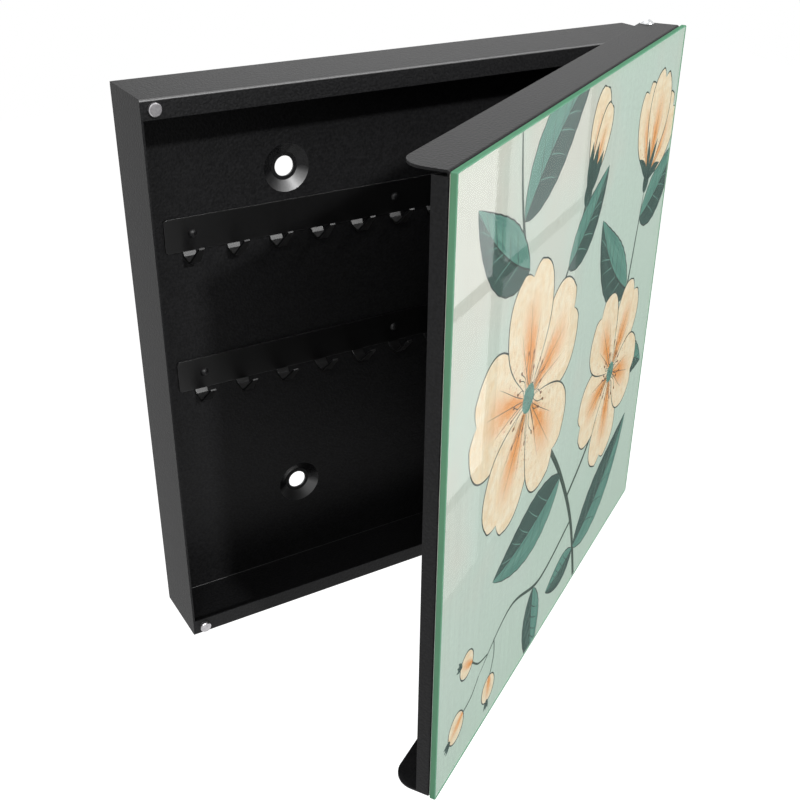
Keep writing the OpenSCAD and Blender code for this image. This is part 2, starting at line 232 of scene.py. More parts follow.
def plated_steel(name, bright, dull, roughness, scuff_mm):
    # Plated steel: nickel or zinc over turned metal, bright with fine scuffs from handling.
    finish, tree, shader = new_finish(name, Metallic=1.0)
    place = add(tree, "TexCoord").outputs["Object"]
    scuff = add(tree, "TexNoise", {
        "Vector": place, "Scale": 1 / (scuff_mm * MM), "Detail": 4.0, "Distortion": 0.6}).outputs["Fac"]
    tone = add(tree, "ValToRGB", {"Fac": scuff}, stops=[(0.35, paint(dull)), (0.65, paint(bright))])
    gloss = add(tree, "MapRange", {"Value": scuff, "To Min": roughness + 0.1, "To Max": roughness})
    relief = add(tree, "Bump", {"Height": scuff, "Strength": 0.08, "Distance": 0.02 * MM})
    feed(tree, shader, Base_Color=tone.outputs["Color"], Roughness=gloss.outputs["Result"],
         Normal=relief.outputs["Normal"])
    return finish


def moulded_plastic(name, colour, shadow, roughness, cell_mm):
    # Moulded nylon and foamed tape: dull plastic with a fine texture or cells that grey it,
    # drawn coarser than they are so that they show.
    finish, tree, shader = new_finish(name, IOR=1.5, Specular_IOR_Level=0.3)
    place = add(tree, "TexCoord").outputs["Object"]
    cell = add(tree, "TexNoise", {
        "Vector": place, "Scale": 1 / (cell_mm * MM), "Detail": 3.0}).outputs["Fac"]
    tone = add(tree, "ValToRGB", {"Fac": cell}, stops=[(0.3, paint(shadow)), (0.6, paint(colour))])
    gloss = add(tree, "MapRange", {"Value": cell, "To Min": roughness, "To Max": roughness + 0.12})
    relief = add(tree, "Bump", {"Height": cell, "Strength": 0.3, "Distance": 0.05 * MM})
    feed(tree, shader, Base_Color=tone.outputs["Color"], Roughness=gloss.outputs["Result"],
         Normal=relief.outputs["Normal"])
    return finish


def clear_glass(name):
    # Float glass, polished: clear, bends what is seen through it and mirrors the room faintly.
    # The share that it mirrors is the same at every angle, as on low-reflection picture glass,
    # so that the print stays readable from the side. Light from lamps goes straight through.
    finish, tree, shader = new_finish(name)
    tree.nodes.remove(shader)
    tint = paint(GLASS_TINT)
    bent = add(tree, "BsdfRefraction", {"Color": tint, "Roughness": 0.0, "IOR": GLASS_IOR})
    shine = add(tree, "BsdfAnisotropic", {"Color": grey(1.0), "Roughness": 0.02})
    seen = add(tree, "MixShader", {0: GLASS_MIRROR, 1: bent.outputs[0], 2: shine.outputs[0]})
    path = add(tree, "LightPath").outputs
    lit = add(tree, "Math", {0: path["Is Shadow Ray"], 1: path["Is Diffuse Ray"]},
              operation="MAXIMUM")
    through = add(tree, "BsdfTransparent", {"Color": tint})
    both = add(tree, "MixShader", {0: lit.outputs[0], 1: seen.outputs[0], 2: through.outputs[0]})
    feed(tree, tree.nodes["Material Output"], Surface=both.outputs[0])
    return finish


def bonded_glass(name):
    # Float glass where the print is bonded to it: no air behind, so it shows the print as it is.
    finish, tree, shader = new_finish(name)
    tree.nodes.remove(shader)
    clear = add(tree, "BsdfTransparent", {"Color": grey(1.0)})
    feed(tree, tree.nodes["Material Output"], Surface=clear.outputs[0])
    return finish


def ground_glass_edge(name, deep, pale, glow):
    # Cut and ground glass edge: the iron in the glass turns it green over its length, and the
    # grinding leaves it frosted, with faint streaks along the cut. The frost is drawn coarser
    # than the real grit so that it shows. Light that has gone into the pane comes out here, so
    # that the edge glows on every side.
    streak_mm, frost_mm = 14, 0.8
    finish, tree, shader = new_finish(name, IOR=GLASS_IOR, Roughness=0.4, Specular_IOR_Level=0.0)
    place = add(tree, "TexCoord").outputs["Object"]
    streak = add(tree, "TexNoise", {
        "Vector": place, "Scale": 1 / (streak_mm * MM), "Detail": 4.0}).outputs["Fac"]
    tone = add(tree, "ValToRGB", {"Fac": streak}, stops=[(0.3, paint(deep)), (0.7, paint(pale))])
    frost = add(tree, "TexNoise", {
        "Vector": place, "Scale": 1 / (frost_mm * MM), "Detail": 2.0}).outputs["Fac"]
    relief = add(tree, "Bump", {"Height": frost, "Strength": 0.15, "Distance": 0.03 * MM})
    feed(tree, shader, Base_Color=tone.outputs["Color"], Normal=relief.outputs["Normal"])
    within = add(tree, "BsdfTranslucent", {"Color": paint(glow)})
    both = add(tree, "MixShader", {0: EDGE_GLOW, 1: shader.outputs[0], 2: within.outputs[0]})
    feed(tree, tree.nodes["Material Output"], Surface=both.outputs[0])
    return finish


def paper_tooth(tree):
    """How laid paper shades an ink, as a grey to multiply by."""
    # Upright fibres and a fine tooth, both drawn coarser than in real paper so that they show
    fibre_mm, fibre_length_mm, tooth_mm = 1.4, 60, 2.2
    spot = add(tree, "UVMap", uv_map="print").outputs["UV"]
    drawn = add(tree, "Mapping", {
        "Vector": spot, "Scale": (1 / (fibre_mm * MM), 1 / (fibre_length_mm * MM), 1.0)})
    fibre = add(tree, "TexNoise", {"Vector": drawn.outputs["Vector"], "Scale": 1.0, "Detail": 3.0})
    tooth = add(tree, "TexNoise", {"Vector": spot, "Scale": 1 / (tooth_mm * MM), "Detail": 2.0})
    both = add(tree, "Math", {0: fibre.outputs["Fac"], 1: tooth.outputs["Fac"]}, operation="ADD")
    grain = add(tree, "MapRange", {
        "Value": both.outputs[0], "From Min": 0.6, "From Max": 1.4, "To Min": 0.9, "To Max": 1.07})
    return grain.outputs["Result"]


def printed(tree, shader, colour):
    """Lays an ink's colour on the paper's tooth and gives it to the shader."""
    laid = add(tree, "Mix", {0: 1.0, COLOUR_A: colour, COLOUR_B: paper_tooth(tree)},
               data_type="RGBA", blend_type="MULTIPLY")
    feed(tree, shader, Base_Color=laid.outputs[COLOUR_OUT])


def mint_paper(name):
    # Printed film, the ground: a flat mint wash on laid paper, creamier towards the top and in
    # soft clouds, with upright fibres and a few brown specks.
    cloud_mm, speck_mm = 90, 14
    slant, without_speck = -0.7, 0.8
    finish, tree, shader = new_finish(name, **MATT_PRINT)
    spot = add(tree, "UVMap", uv_map="print").outputs["UV"]
    cloud = add(tree, "TexNoise", {"Vector": spot, "Scale": 1 / (cloud_mm * MM), "Detail": 3.0})
    axes = add(tree, "SeparateXYZ", {"Vector": spot}).outputs
    lean = add(tree, "Math", {0: axes["X"], 1: slant, 2: axes["Y"]}, operation="MULTIPLY_ADD")
    rise = add(tree, "MapRange", {
        "Value": lean.outputs[0], "From Min": -0.1, "From Max": 0.3, "To Min": -0.3, "To Max": 0.35})
    wash = add(tree, "Math", {0: cloud.outputs["Fac"], 1: rise.outputs["Result"]}, operation="ADD")
    tone = add(tree, "ValToRGB", {"Fac": wash.outputs[0]}, stops=[
        (0.2, paint("#b8c9bd")), (0.5, paint("#bccac0")), (0.78, paint("#c5c4ba"))])
    speck = add(tree, "TexVoronoi", {"Vector": spot, "Scale": 1 / (speck_mm * MM)})
    dot = add(tree, "MapRange", {
        "Value": speck.outputs["Distance"], "From Min": 0.02, "From Max": 0.05,
        "To Min": 0.55, "To Max": 0.0})
    chance = add(tree, "SeparateColor", {"Color": speck.outputs["Color"]})
    rare = add(tree, "Math", {0: chance.outputs[0], 1: without_speck}, operation="GREATER_THAN")
    mark = add(tree, "Math", {0: dot.outputs["Result"], 1: rare.outputs[0]}, operation="MULTIPLY")
    ground = add(tree, "Mix", {
        0: mark.outputs[0], COLOUR_A: tone.outputs["Color"], COLOUR_B: paint("#a89674")},
        data_type="RGBA")
    printed(tree, shader, ground.outputs[COLOUR_OUT])
    return finish


def petal_ink(name):
    # Printed film, petals: cream with an orange flush along the middle of each petal, rubbed in
    # by hand, and small dots near the throat.
    rub_mm, dot_mm = 5, 2.6
    finish, tree, shader = new_finish(name, **MATT_PRINT)
    spot = add(tree, "UVMap", uv_map="print").outputs["UV"]
    drawn = add(tree, "UVMap", uv_map="stroke").outputs["UV"]
    on_petal = add(tree, "SeparateXYZ", {"Vector": drawn}).outputs
    off_middle = add(tree, "Math", {0: on_petal["Y"], 1: 0.5}, operation="SUBTRACT")
    across = add(tree, "Math", {0: off_middle.outputs[0]}, operation="ABSOLUTE")
    rub = add(tree, "TexNoise", {
        "Vector": spot, "Scale": 1 / (rub_mm * MM), "Detail": 4.0}).outputs["Fac"]
    blur = add(tree, "MapRange", {"Value": rub, "To Min": -0.16, "To Max": 0.16})
    edge = add(tree, "Math", {0: across.outputs[0], 1: blur.outputs["Result"]}, operation="ADD")
    band = add(tree, "MapRange", {
        "Value": edge.outputs[0], "From Min": 0.06, "From Max": 0.24, "To Min": 1.0, "To Max": 0.0})
    fade = add(tree, "MapRange", {
        "Value": on_petal["X"], "From Min": 0.35, "From Max": 0.85, "To Min": 1.0, "To Max": 0.0})
    flush = add(tree, "Math", {0: band.outputs["Result"], 1: fade.outputs["Result"]},
                operation="MULTIPLY")
    cream = add(tree, "ValToRGB", {"Fac": rub}, stops=[
        (0.35, paint("#ecdcc2")), (0.7, paint("#e6cba6"))])
    warm = add(tree, "Mix", {
        0: flush.outputs[0], COLOUR_A: cream.outputs["Color"], COLOUR_B: paint("#e39a58")},
        data_type="RGBA")
    dots = add(tree, "TexVoronoi", {"Vector": spot, "Scale": 1 / (dot_mm * MM)})
    dot = add(tree, "MapRange", {
        "Value": dots.outputs["Distance"], "From Min": 0.14, "From Max": 0.22,
        "To Min": 0.75, "To Max": 0.0})
    throat = add(tree, "MapRange", {
        "Value": on_petal["X"], "From Min": 0.3, "From Max": 0.62, "To Min": 1.0, "To Max": 0.0})
    spots = add(tree, "Math", {0: dot.outputs["Result"], 1: throat.outputs["Result"]},
                operation="MULTIPLY")
    done = add(tree, "Mix", {
        0: spots.outputs[0], COLOUR_A: warm.outputs[COLOUR_OUT], COLOUR_B: paint("#b9713a")},
        data_type="RGBA")
    printed(tree, shader, done.outputs[COLOUR_OUT])
    return finish


def leaf_ink(name, deep, light):
    # Printed film, leaves: two greens brushed on with a dry brush, streaked along the leaf. The
    # streaks follow each leaf's own shape, so they are counted along it and across its half.
    streaks = (2.2, 9.0, 1.0)
    finish, tree, shader = new_finish(name, **MATT_PRINT)
    drawn = add(tree, "UVMap", uv_map="stroke").outputs["UV"]
    drag = add(tree, "Mapping", {"Vector": drawn, "Scale": streaks})
    brush = add(tree, "TexNoise", {"Vector": drag.outputs["Vector"], "Scale": 1.0, "Detail": 5.0})
    tone = add(tree, "ValToRGB", {"Fac": brush.outputs["Fac"]}, stops=[
        (0.32, paint(deep)), (0.68, paint(light))])
    printed(tree, shader, tone.outputs["Color"])
    return finish


def line_ink(name, colour, thin):
    # Printed film, lines: a dark key block, slightly broken where the ink ran thin.
    wear_mm = 2.5
    finish, tree, shader = new_finish(name, **MATT_PRINT)
    spot = add(tree, "UVMap", uv_map="print").outputs["UV"]
    wear = add(tree, "TexNoise", {"Vector": spot, "Scale": 1 / (wear_mm * MM), "Detail": 3.0})
    tone = add(tree, "ValToRGB", {"Fac": wear.outputs["Fac"]}, stops=[
        (0.45, paint(colour)), (0.75, paint(thin))])
    printed(tree, shader, tone.outputs["Color"])
    return finish


# Finishes of the frame's own pieces. The tray and the door are coated alike, but only the tray's
# folds and dishes are rubbed. The rails' coat is blacker and smoother.
# The second colour of each coat is a painted highlight on the peaks of its peel
SHEET = {"deep": "#0a0a0b", "peak_highlight": "#1c1c1d", "roughness": 0.53, "sheen": 0.17,
         "peel_mm": 1.2, "depth_mm": 0.26, "fold_mm": 0.3}
RAIL = {"deep": "#040404", "peak_highlight": "#0a0a0b", "roughness": 0.33, "sheen": 0.8,
        "peel_mm": 1.3, "depth_mm": 0.013, "fold_mm": 0.35}
RIVET = {"deep": "#0a0a0b", "peak_highlight": "#1a1a1b", "roughness": 0.42, "sheen": 0.32,
         "peel_mm": 0.9, "depth_mm": 0.013, "fold_mm": 0.2}
FINISHES = {
    "tray_coat": powder_coat("black_powder_coated_sheet", **SHEET, pressed=True),
    "door_coat": powder_coat("black_powder_coated_door", **SHEET),
    "rail_coat": powder_coat("black_powder_coated_rail", **RAIL),
    "rivet_coat": powder_coat("black_coated_rivet", **RIVET),
    "magnet_plating": plated_steel("nickel_plated_magnet", "#b9b7b9", "#a3a1a4", 0.32, 1.5),
    "pin_steel": plated_steel("bright_zinc_plated_steel", "#e2e3e4", "#bfc1c4", 0.16, 1.8),
    "clip_steel": plated_steel("zinc_plated_spring_steel", "#a9abae", "#7d8085", 0.34, 1.2),
    "washer_nylon": moulded_plastic("white_nylon", "#e4e1d8", "#d2cec2", 0.45, 1.6),
    "bonding_tape": moulded_plastic("white_foam_tape", "#e9e8e4", "#cfcdc7", 0.8, 0.7),
}
for piece in frame["record"]["subparts"]:
    if piece["material_slot"] in FINISHES:
        slots = frame["nodes"][piece["node"]].data.materials
        slots.clear()
        slots.append(FINISHES[piece["material_slot"]])


def door_piece(name, make, finishes, slot, *nodes):
    """Makes a piece of a shut-door mesh, swings it with the door and stands it in for nodes."""
    mesh = bpy.data.meshes.new(name)
    make.transform(swing)
    make.to_mesh(mesh)
    make.free()
    piece = bpy.data.objects.new(name, mesh)
    scene.collection.objects.link(piece)
    for finish in finishes:
        mesh.materials.append(finish)
    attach(piece, "door")
    if nodes:
        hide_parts(*nodes)
    return piece


def glass_pane():
    """The glass with a ground arris along every edge: clear faces, green edges."""
    front_face, print_face, cut_edge, arris_face = range(4)
    finishes = [
        clear_glass("polished_float_glass"),
        bonded_glass("print_side_of_glass"),
        ground_glass_edge("ground_glass_edge", "#629d7d", "#6aa585", "#769376"),
        ground_glass_edge("ground_glass_arris", "#6ea589", "#76ad91", "#7c977c"),
    ]
    low, high = shut_box("glass_panel")
    make = bmesh.new()
    bmesh.ops.create_cube(make, size=1.0)
    bmesh.ops.scale(make, verts=make.verts, vec=high - low)
    bmesh.ops.translate(make, verts=make.verts, vec=(low + high) / 2)
    bmesh.ops.bevel(make, geom=make.edges[:], offset=ARRIS, segments=1, affect="EDGES",
                    clamp_overlap=True)
    make.normal_update()
    for face in make.faces:
        if face.normal.y < -SQUARE:
            face.material_index = front_face
        elif face.normal.y > SQUARE:
            face.material_index = print_face
        elif max(abs(n) for n in face.normal) > SQUARE:
            face.material_index = cut_edge
        else:
            face.material_index = arris_face
    pane = door_piece("glass_front", make, finishes, "front_glass", "glass_panel")
    # The lamps' light goes through the whole pane, its edges too
    pane.visible_shadow = False


# The print. Its marks are drawn in millimetres from the film's lower corner at the door's free
# side, and each ink lies in thin sheets at its own level between the film and the glass.
film_low, film_high = shut_box("print_film")
film_front = film_high.y - FILM_SHARE * (film_high.y - film_low.y)
INK_STEP = (film_front - film_low.y) / (INK_LEVELS + 1)
LEVEL_STEM, LEVEL_LEAF, LEVEL_VEIN, LEVEL_STAMEN, LEVEL_DOT = 1, 2, 3, 10, 11
# Three levels of petals, each with its outlines above it, so that no two that overlap share one
UNDER, BETWEEN, OVER = (4, 5), (6, 7), (8, 9)
# Widths of the lines
LEAF_LINE, RIB_LINE, VEIN_LINE = 0.75, 1.0, 0.55
PETAL_LINE, CREASE_LINE, STAMEN_LINE = 0.85, 0.42, 0.45
BERRY_LINE, STALK_LINE = 0.75, 1.1
# A line that isn't drawn out thin at its ends
BLUNT = (0.0, 0.0)
marks = {ink: [] for ink in ("stem", "leaf_light", "leaf_dark", "petal", "line", "vein", "anther")}
hand = random.Random(11)


def pointing(angle):
    """The direction at an angle from the print's lower edge."""
    return Vector((math.cos(angle), math.sin(angle)))


def left_of(axis):
    """The direction a quarter turn to the left."""
    return Vector((-axis.y, axis.x))


def flow(points, steps):
    """A smooth run of points through a few chosen ones."""
    ends = [points[0], *points, points[-1]]
    run = []
    for i in range(len(points) - 1):
        a, b, c, d = (Vector(p) for p in ends[i : i + 4])
        for k in range(steps):
            t = k / steps
            run.append(0.5 * (2 * b + (c - a) * t + (2 * a - 5 * b + 4 * c - d) * t**2
                              + (3 * b - a - 3 * c + d) * t**3))
    run.append(Vector(points[-1]))
    return run


def midrib(base, heading, length, bend, steps):
    """A run from a base that starts at a heading and bends evenly, both in degrees."""
    run = [Vector(base)]
    for i in range(steps):
        way = pointing(math.radians(heading + bend * i / steps))
        run.append(run[-1] + way * length / steps)
    return run


def side_of(run, i):
    """The direction to the left of a run at one of its points."""
    return left_of((run[min(i + 1, len(run) - 1)] - run[max(i - 1, 0)]).normalized())


def stroke(ink, level, run, width, taper=BLUNT):
    """A brush line along a run, drawn out thin over a share of its length at each end."""
    thinnest = 0.12
    rows = []
    last = len(run) - 1
    for i, p in enumerate(run):
        t = i / last
        swell = 1.0
        if taper[0] and t < taper[0]:
            swell = t / taper[0]
        if taper[1] and 1 - t < taper[1]:
            swell = min(swell, (1 - t) / taper[1])
        half = width / 2 * max(thinnest, math.sqrt(swell))
        side = side_of(run, i) * half
        rows.append([p + side, p - side])
    marks[ink].append((level, rows))


def disc(ink, level, centre, radius, flat=1.0, turn=0.0, rows=12):
    """A round or oval spot."""
    # Its first and last rows stop just short of the ends, so that every face has an area
    first, spread = 0.02, 0.96
    axis = pointing(turn)
    side = left_of(axis)
    ring = []
    for i in range(rows + 1):
        a = math.pi * (first + spread * i / rows)
        middle = Vector(centre) - axis * radius * math.cos(a)
        ring.append([middle + side * radius * flat * math.sin(a) * s for s in (1, 0, -1)])
    marks[ink].append((level, ring))


def leaf(base, heading, length, width, bend, dark_left=False):
    """An ovate leaf at a heading in degrees: two halves in two greens, outline, midrib and veins."""
    steps, columns, teeth, veins, vein_steps = 28, 3, 9, 5, 4
    thinnest = 0.05
    rib = midrib(base, heading, length, bend, steps)
    inks = ("leaf_dark", "leaf_light") if dark_left else ("leaf_light", "leaf_dark")
    for side, ink in zip((1, -1), inks):
        rows = []
        for i, p in enumerate(rib):
            t = i / steps
            # Fullest below the middle, with a narrowed tip and a faintly toothed rim
            half = width / 2 * math.sin(math.pi * t**0.82) ** 0.85 * (1 - 0.12 * t)
            half *= 1 - 0.05 * abs(math.sin(math.pi * t * teeth + side))
            out = side_of(rib, i) * side
            rows.append([p + out * max(half, thinnest) * s / columns for s in range(columns + 1)])
        marks[ink].append((LEVEL_LEAF, rows))
        rim = [row[-1] for row in rows]
        stroke("line", LEVEL_VEIN, rim, LEAF_LINE, (0.1, 0.2))
        vein_ink = "vein" if ink == "leaf_dark" else "line"
        for k in range(1, veins + 1):
            start = round(steps * (0.1 + 0.13 * k))
            stop = min(steps - 1, start + vein_steps)
            tip = rib[stop].lerp(rim[stop], 0.86)
            middle = rib[start].lerp(tip, 0.55) + (rib[stop] - rib[start]) * 0.06
            vein = flow([rib[start], middle, tip], 5)
            stroke(vein_ink, LEVEL_VEIN, vein, VEIN_LINE, (0.0, 0.8))
    stroke("line", LEVEL_VEIN, rib[: steps - 1], RIB_LINE, (0.0, 0.7))


def petal(centre, heading, length, half_width, levels, start=0.1, notch=0.07):
    """A broad petal from a blossom's centre, with a notched tip, outlines and fine creases."""
    steps, columns, crease_steps = 22, 4, 10
    # Shares of the length at which it is widest and at which its sides would meet
    widest, closed = 0.66, 1.02
    level, line_level = levels
    axis = pointing(math.radians(heading))
    side = left_of(axis)

    def place(t, s):
        if t < widest:
            half = half_width * math.sin(math.pi / 2 * (t / widest)) ** 1.1
        else:
            half = half_width * math.sqrt(max(0.0, 1 - ((t - widest) / (closed - widest)) ** 2.4))
        reach = length * t * (1 - notch * t**4 * (1 - abs(s)) ** 2)
        ripple = 1 + 0.035 * math.sin(7 * t + heading)
        return Vector(centre) + axis * reach + side * half * s * ripple

    rows = []
    for i in range(steps + 1):
        t = start + (1 - start) * i / steps
        rows.append([place(t, s / columns) for s in range(-columns, columns + 1)])
    marks["petal"].append((level, rows))
    left_rim = [row[0] for row in rows] + rows[-1][1 : columns + 1]
    right_rim = [row[-1] for row in rows] + rows[-1][-2 : columns - 1 : -1]
    for rim in (left_rim, right_rim):
        stroke("line", line_level, rim, PETAL_LINE, (0.3, 0.12))
    for s, reach in ((-0.42, 0.62), (0.0, 0.78), (0.4, 0.58)):
        crease = []
        for i in range(crease_steps + 1):
            t = start + (reach - start) * i / crease_steps
            crease.append(place(t, s * (0.5 + 0.5 * i / crease_steps)))
        stroke("line", line_level, crease, CREASE_LINE, (0.1, 0.8))


def blossom(centre, radius, turn):
    """An open five-petalled blossom with a crown of stamens round a green heart."""
    stamens, anther_radius = 22, 1.35
    seeds, seed_radius, seed_turn = 7, 0.5, 2.4
    heart = 0.11
    for k, levels in enumerate((UNDER, BETWEEN, UNDER, BETWEEN, OVER)):
        length = radius * (1 + 0.06 * math.sin(3 * k + turn))
        petal(centre, turn + 72 * k, length, 0.42 * radius, levels)
    for k in range(stamens):
        a = math.radians(turn + 360 * k / stamens + hand.uniform(-6, 6))
        reach = radius * hand.uniform(0.2, 0.36)
        axis = pointing(a)
        sway = left_of(axis) * hand.uniform(-0.04, 0.04) * radius
        foot = Vector(centre) + axis * radius * heart
        tip = Vector(centre) + axis * reach
        filament = flow([foot, foot.lerp(tip, 0.5) + sway, tip], 4)
        stroke("line", LEVEL_STAMEN, filament, STAMEN_LINE)
        disc("anther", LEVEL_DOT, tip + axis * 0.7, anther_radius, 0.55, a)
    disc("leaf_light", LEVEL_STAMEN, centre, radius * heart)
    for k in range(seeds):
        seed = pointing(seed_turn * k) * radius * 0.027 * math.sqrt(k)
        disc("line", LEVEL_DOT, Vector(centre) + seed, seed_radius, rows=6)


def half_open(centre, heading, length):
    """A blossom seen from the side: three petals in a cup, held by sepals."""
    petal(centre, heading + 34, length * 0.94, length * 0.3, UNDER)
    petal(centre, heading - 34, length * 0.94, length * 0.3, BETWEEN)
    petal(centre, heading, length, length * 0.34, OVER)
    for turn in (-52, -16, 20, 55):
        sepal(centre, heading + turn, length * 0.42, length * 0.1, turn * 0.5)
    disc("leaf_dark", LEVEL_DOT, centre, length * 0.12, 0.8, math.radians(heading))


def sepal(base, heading, length, width, bend):
    """A narrow pointed leaf under a blossom or bud."""
    steps, foot, thinnest = 10, 0.12, 0.04
    rib = midrib(base, heading, length, bend, steps)
    rows = []
    for i, p in enumerate(rib):
        half = width / 2 * max(thinnest, math.sin(math.pi * (foot + (1 - foot) * i / steps)))
        side = side_of(rib, i) * half
        rows.append([p + side, p, p - side])
    marks["leaf_dark"].append((LEVEL_DOT, rows))


def bud(base, heading, length):
    """A closed bud: two folded petals in a cup of sepals."""
    petal(base, heading + 9, length, length * 0.26, UNDER, start=0.05, notch=0.0)
    petal(base, heading - 8, length * 0.9, length * 0.2, OVER, start=0.05, notch=0.0)
    for turn in (-30, 2, 32):
        sepal(base, heading + turn, length * 0.5, length * 0.16, -turn * 0.6)
    disc("leaf_dark", LEVEL_DOT, base, length * 0.13, 0.9, math.radians(heading))


def berry(foot, heading, length, radius):
    """A round hip on a thin stalk."""
    steps = 24
    a = math.radians(heading)
    axis = pointing(a)
    end = Vector(foot) + axis * length
    bow = Vector(foot).lerp(end, 0.5) + left_of(axis) * length * 0.12
    stroke("stem", LEVEL_STEM, flow([foot, bow, end], 6), STALK_LINE)
    centre = end + axis * radius * 0.9
    disc("petal", UNDER[0], centre, radius, 0.9, a)
    turns = [a + 2 * math.pi * i / steps for i in range(steps + 1)]
    ring = [centre + pointing(t) * radius * 0.97 for t in turns]
    stroke("line", UNDER[1], ring, BERRY_LINE)
    for turn in (-24, 0, 24):
        sepal(centre + axis * radius * 0.8, heading + turn, radius * 0.8, radius * 0.3, 0)


def draw_branch():
    """The whole design: two flowering branches that rise from the foot of the print."""
    main = flow([(196, -6), (178, 48), (148, 98), (100, 160), (78, 232), (66, 270), (60, 308)], 10)
    side = flow([(164, 72), (196, 90), (226, 122), (242, 172), (254, 222)], 10)
    low = flow([(178, 50), (130, 40), (86, 52), (46, 36)], 10)
    twig = flow([(104, 190), (136, 222), (152, 248)], 8)
    stroke("stem", LEVEL_STEM, main, 3.6, (0.0, 0.5))
    stroke("stem", LEVEL_STEM, side, 2.8, (0.0, 0.3))
    stroke("stem", LEVEL_STEM, low, 2.2, (0.0, 0.6))
    stroke("stem", LEVEL_STEM, twig, 2.0)
    leaf((186, 26), 12, 100, 40, 34, True)
    leaf((150, 95), 196, 92, 37, -22)
    leaf((80, 236), 158, 74, 32, -30, True)
    leaf((70, 260), 44, 92, 37, -26)
    leaf((240, 168), 152, 84, 35, -34, True)
    leaf((250, 206), 8, 70, 32, 34)
    leaf((120, 41), 268, 56, 26, 16)
    leaf((186, 24), 192, 44, 21, -20, True)
    leaf((240, 122), 345, 58, 26, -14)
    leaf((132, 218), 22, 62, 27, 28)
    blossom((90, 170), 66, 22)
    blossom((226, 122), 55, 50)
    half_open((255, 226), 72, 58)
    bud((152, 248), 64, 48)
    berry((48, 37), 205, 20, 9)
    berry((58, 43), 152, 22, 8)
    berry((66, 47), 262, 22, 8.5)


def lay_mark(make, uv_print, uv_stroke, level, rows):
    """Adds one mark to a mesh as a thin closed sheet, with its place on the print and in itself."""
    front_y = film_front - level * INK_STEP
    rear_y = front_y + INK_SHARE * INK_STEP
    along, across = len(rows) - 1, len(rows[0]) - 1
    spots = {}

    def point(i, j, y):
        u, v = rows[i][j]
        vert = make.verts.new((film_low.x + u * MM, y, film_low.z + v * MM))
        spots[vert] = ((u * MM, v * MM), (i / along, j / across))
        return vert

    front = [[point(i, j, front_y) for j in range(across + 1)] for i in range(along + 1)]
    rear = [[point(i, j, rear_y) for j in range(across + 1)] for i in range(along + 1)]
    faces = []
    for i in range(along):
        for j in range(across):
            faces.append((front[i][j], front[i][j + 1], front[i + 1][j + 1], front[i + 1][j]))
            faces.append((rear[i][j], rear[i + 1][j], rear[i + 1][j + 1], rear[i][j + 1]))
        faces.append((front[i][0], front[i + 1][0], rear[i + 1][0], rear[i][0]))
        faces.append((front[i][-1], rear[i][-1], rear[i + 1][-1], front[i + 1][-1]))
    for j in range(across):
        faces.append((front[0][j], rear[0][j], rear[0][j + 1], front[0][j + 1]))
        faces.append((front[-1][j], front[-1][j + 1], rear[-1][j + 1], rear[-1][j]))
    for corners in faces:
        for loop in make.faces.new(corners).loops:
            loop[uv_print].uv, loop[uv_stroke].uv = spots[loop.vert]


def trim_to_film(make):
    """Cuts a mesh off at the print's four edges and closes the cuts."""
    for corner, way in ((film_low, -1), (film_high, 1)):
        for axis in (0, 2):
            normal = Vector((0, 0, 0))
            normal[axis] = way
            cut = bmesh.ops.bisect_plane(
                make, geom=make.verts[:] + make.edges[:] + make.faces[:], dist=1e-7,
                plane_co=corner, plane_no=normal, clear_outer=True)
            rim = [e for e in cut["geom_cut"] if isinstance(e, bmesh.types.BMEdge)]
            if rim:
                bmesh.ops.holes_fill(make, edges=rim, sides=0)


def ink_sheet(name, ink, finish):
    """One ink's marks as thin closed sheets in front of the film, trimmed at the print's edge."""
    make = bmesh.new()
    uv_print = make.loops.layers.uv.new("print")
    uv_stroke = make.loops.layers.uv.new("stroke")
    for level, rows in marks[ink]:
        lay_mark(make, uv_print, uv_stroke, level, rows)
    bmesh.ops.recalc_face_normals(make, faces=make.faces[:])
    trim_to_film(make)
    door_piece(name, make, [finish], "print_film")


def film_base():
    """The film itself, with rounded corners, which carries the ground colour."""
    corner_steps = 6
    make = bmesh.new()
    uv_print = make.loops.layers.uv.new("print")
    outline = []
    for x, z, first in ((film_high.x, film_high.z, 0), (film_low.x, film_high.z, 90),
                        (film_low.x, film_low.z, 180), (film_high.x, film_low.z, 270)):
        outward = math.radians(first + 45)
        inner_x = x - math.copysign(FILM_CORNER, math.cos(outward))
        inner_z = z - math.copysign(FILM_CORNER, math.sin(outward))
        for k in range(corner_steps + 1):
            a = math.radians(first + 90 / corner_steps * k)
            outline.append((inner_x + FILM_CORNER * math.cos(a), inner_z + FILM_CORNER * math.sin(a)))
    front = [make.verts.new((x, film_front, z)) for x, z in outline]
    rear = [make.verts.new((x, film_high.y, z)) for x, z in outline]
    make.faces.new(front)
    make.faces.new(rear[::-1])
    for i in range(len(outline)):
        make.faces.new((front[i - 1], front[i], rear[i], rear[i - 1]))
    bmesh.ops.recalc_face_normals(make, faces=make.faces[:])
    for face in make.faces:
        for loop in face.loops:
            loop[uv_print].uv = (loop.vert.co.x - film_low.x, loop.vert.co.z - film_low.z)
    ground = mint_paper("mint_printed_film")
    door_piece("print_ground", make, [ground], "print_film", "print_film")


glass_pane()
film_base()
draw_branch()
ink_sheet("print_stems", "stem", leaf_ink("stem_ink", "#37473f", "#46584e"))
ink_sheet("print_leaves_teal", "leaf_light", leaf_ink("teal_leaf_ink", "#4b7a70", "#6a9688"))
ink_sheet("print_leaves_dark", "leaf_dark", leaf_ink("dark_leaf_ink", "#2f453f", "#45605a"))
ink_sheet("print_petals", "petal", petal_ink("cream_petal_ink"))
ink_sheet("print_lines", "line", line_ink("key_block_ink", "#2f3a36", "#53605a"))
ink_sheet("print_veins", "vein", line_ink("pale_vein_ink", "#6f978b", "#5a7f74"))
ink_sheet("print_anthers", "anther", line_ink("anther_ink", "#6b3f1e", "#9c6431"))


